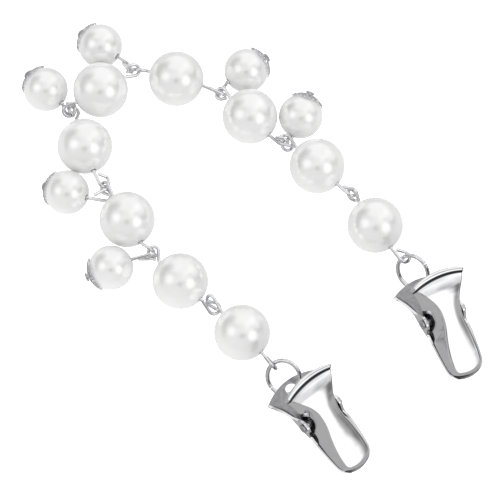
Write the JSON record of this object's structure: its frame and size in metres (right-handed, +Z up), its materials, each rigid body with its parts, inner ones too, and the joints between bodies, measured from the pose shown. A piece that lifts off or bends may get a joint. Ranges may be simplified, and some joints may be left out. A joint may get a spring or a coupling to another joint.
{
  "type": "sweater clip",
  "caption": "Chain of round pearls on looped eye pins with small capped pearl drops, and a sprung pinch clip on a jump ring at each end.",
  "frame": {"origin": "centre of the bounding box, on the surface that the clip lies on", "axes": "+Z up from that surface; +X from the closed bend of the chain's left arm towards the right clip; the two clips lie towards -Y and +X, the bend of the chain towards +Y"},
  "size_m": [0.0829, 0.085, 0.0124],
  "materials": {
    "pearl": "pearl-lacquered ABS beads, satin gloss",
    "wire": "rhodium-plated brass wire, bright",
    "cap": "plated brass filigree, bright",
    "clip": "nickel-plated pressed steel, mirror polished",
    "rivet": "nickel-plated rivet",
    "spring": "drawn spring wire, plated"
  },
  "bodies": {
    "root": {"pearl_1": "pearl", "pearl_2": "pearl", "pearl_3": "pearl", "pearl_4": "pearl", "pearl_5": "pearl", "pearl_6": "pearl", "pearl_7": "pearl", "pearl_8": "pearl", "pearl_9": "pearl", "eye_pin_1": "wire", "eye_pin_2": "wire", "eye_pin_3": "wire", "eye_pin_4": "wire", "eye_pin_5": "wire", "eye_pin_6": "wire", "eye_pin_7": "wire", "eye_pin_8": "wire", "eye_pin_9": "wire", "drop_pearl_a": "pearl", "drop_pearl_b": "pearl", "drop_pearl_c": "pearl", "drop_pearl_d": "pearl", "drop_pearl_e": "pearl", "drop_pearl_f": "pearl", "drop_pin_a": "wire", "drop_pin_b": "wire", "drop_pin_c": "wire", "drop_pin_d": "wire", "drop_pin_e": "wire", "drop_pin_f": "wire", "bead_cap_a": "cap", "bead_cap_b": "cap", "bead_cap_c": "cap", "bead_cap_d": "cap", "bead_cap_e": "cap", "bead_cap_f": "cap", "ring_left": "wire", "ring_right": "wire", "clip_lower_left": "clip", "hinge_pin_left": "rivet", "spring_lower_left": "spring", "clip_lower_right": "clip", "hinge_pin_right": "rivet", "spring_lower_right": "spring"},
    "upper_half_left": {"clip_upper_left": "clip", "spring_upper_left": "spring"},
    "upper_half_right": {"clip_upper_right": "clip", "spring_upper_right": "spring"}
  },
  "joints": [
    {"name": "clip_hinge_left", "type": "hinge", "parent": "root", "child": "upper_half_left", "pos_m": [0.0125, -0.03257, 0.0047], "axis": [-0.7295, -0.6712, 0.1316], "range_deg": [0, 28], "stiffness_Nm_per_rad": 0.004, "springref_deg": -17.19},
    {"name": "clip_hinge_right", "type": "hinge", "parent": "root", "child": "upper_half_right", "pos_m": [0.0343, -0.01407, 0.004], "axis": [-0.8593, -0.4628, 0.2178], "range_deg": [0, 28], "stiffness_Nm_per_rad": 0.004, "springref_deg": -17.19}
  ]
}
